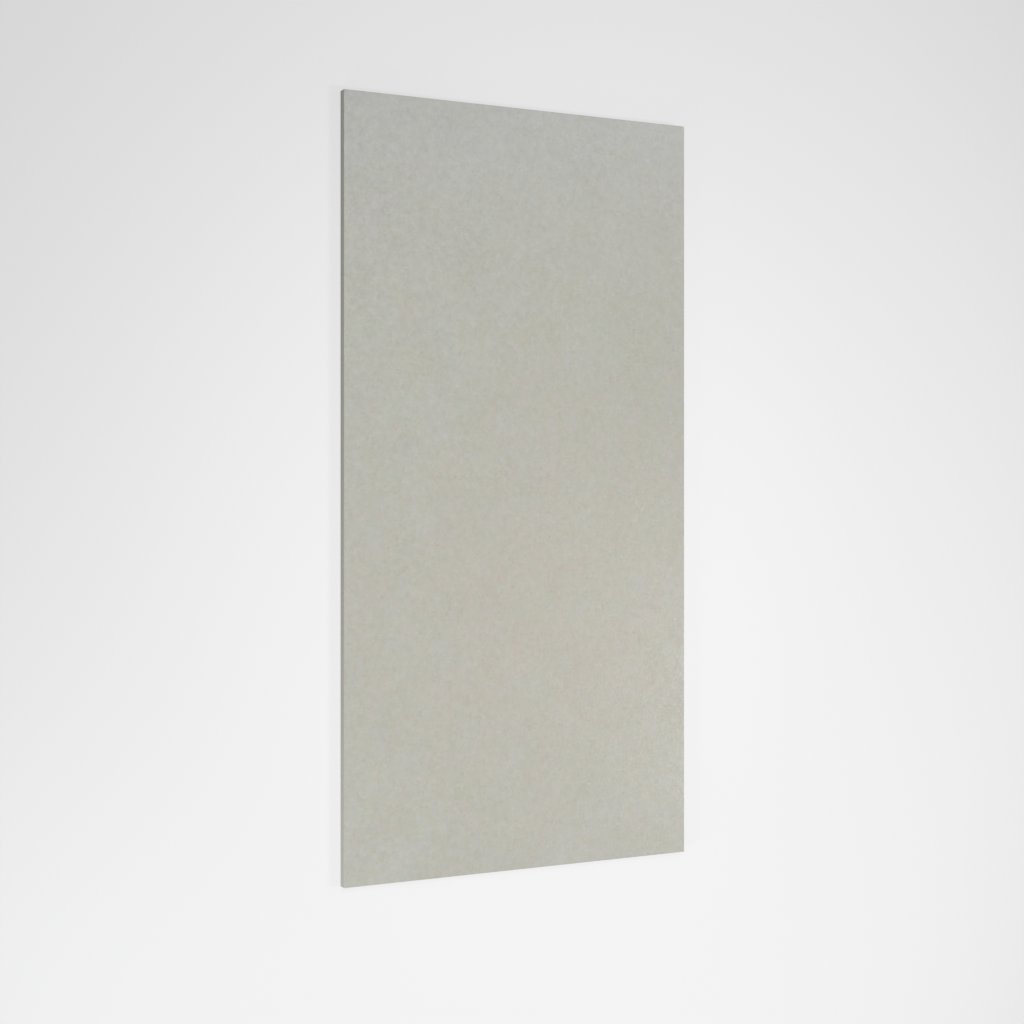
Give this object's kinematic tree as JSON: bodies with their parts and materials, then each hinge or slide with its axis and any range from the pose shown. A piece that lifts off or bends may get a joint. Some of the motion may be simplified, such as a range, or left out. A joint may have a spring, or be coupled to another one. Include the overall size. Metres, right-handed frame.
{
  "type": "pvc wall panel",
  "caption": "Flat rectangular foamed PVC wall sheet with a pale stone-look decor face, plain cut edges and slightly eased arrises.",
  "frame": {"origin": "centre of the back face, which lies on the floor", "axes": "+X across the width, +Y along the length, +Z out of the decor face"},
  "size_m": [1.22, 2.44, 0.03],
  "materials": {
    "decor_pvc": "satin"
  },
  "bodies": {
    "root": {"wall_panel": "decor_pvc"}
  },
  "joints": []
}
